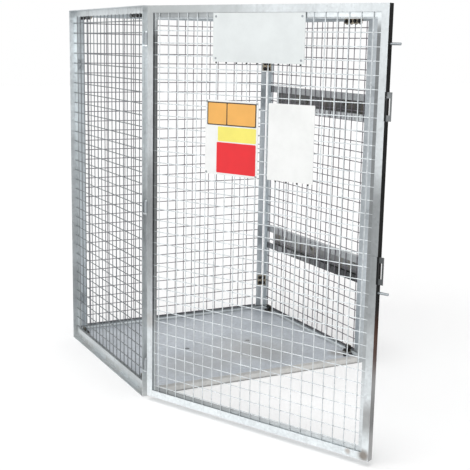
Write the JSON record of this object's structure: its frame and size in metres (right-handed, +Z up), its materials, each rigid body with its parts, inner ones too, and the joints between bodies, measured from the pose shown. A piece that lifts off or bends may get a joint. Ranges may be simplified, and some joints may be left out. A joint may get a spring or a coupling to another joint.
{
  "type": "gas cylinder cage",
  "caption": "Galvanised mesh cage for storing gas cylinders upright, with a sheet floor, a mesh roof and a full-height hinged door standing open.",
  "frame": {"origin": "on the ground at the centre of the cage's footprint, under the middle bearer", "axes": "+Z up, the front with the door faces -Y, the rear panel faces +Y, +X to the right seen from the front"},
  "size_m": [1.2, 2.1181, 1.725],
  "materials": {
    "galvanised_steel": "satin",
    "dull_galvanised_steel": "satin",
    "yellow_zinc_steel": "satin",
    "plate_sheet": "satin",
    "sign_board": "matte"
  },
  "bodies": {
    "cage": {"left_stiles": "galvanised_steel", "left_rails": "dull_galvanised_steel", "left_mesh": "galvanised_steel", "rear_stiles": "galvanised_steel", "rear_rails": "dull_galvanised_steel", "rear_mesh": "galvanised_steel", "right_stiles": "galvanised_steel", "right_rails": "dull_galvanised_steel", "right_mesh": "galvanised_steel", "upper_restraint_rail": "dull_galvanised_steel", "lower_restraint_rail": "dull_galvanised_steel", "roof_side_members": "galvanised_steel", "roof_cross_members": "dull_galvanised_steel", "roof_mesh": "galvanised_steel", "roof_clamps": "yellow_zinc_steel", "corner_brackets": "yellow_zinc_steel", "floor_tray": "dull_galvanised_steel", "floor_bearers": "dull_galvanised_steel", "floor_clips": "yellow_zinc_steel", "hinge_pintles": "galvanised_steel", "lock_staples": "galvanised_steel"},
    "door": {"door_stiles": "galvanised_steel", "door_rails": "galvanised_steel", "door_mesh": "galvanised_steel", "door_mesh_strips": "galvanised_steel", "hinge_knuckles": "galvanised_steel", "hasp_plates": "galvanised_steel", "locating_pegs": "galvanised_steel", "name_plate": "plate_sheet", "sign_panel": "sign_board", "notice_sheet": "sign_board"}
  },
  "joints": [
    {"name": "door_hinge", "type": "hinge", "parent": "cage", "child": "door", "pos_m": [-0.588, -0.52, 0.8715], "axis": [0, 0, 1], "range_deg": [-110, 64]}
  ]
}
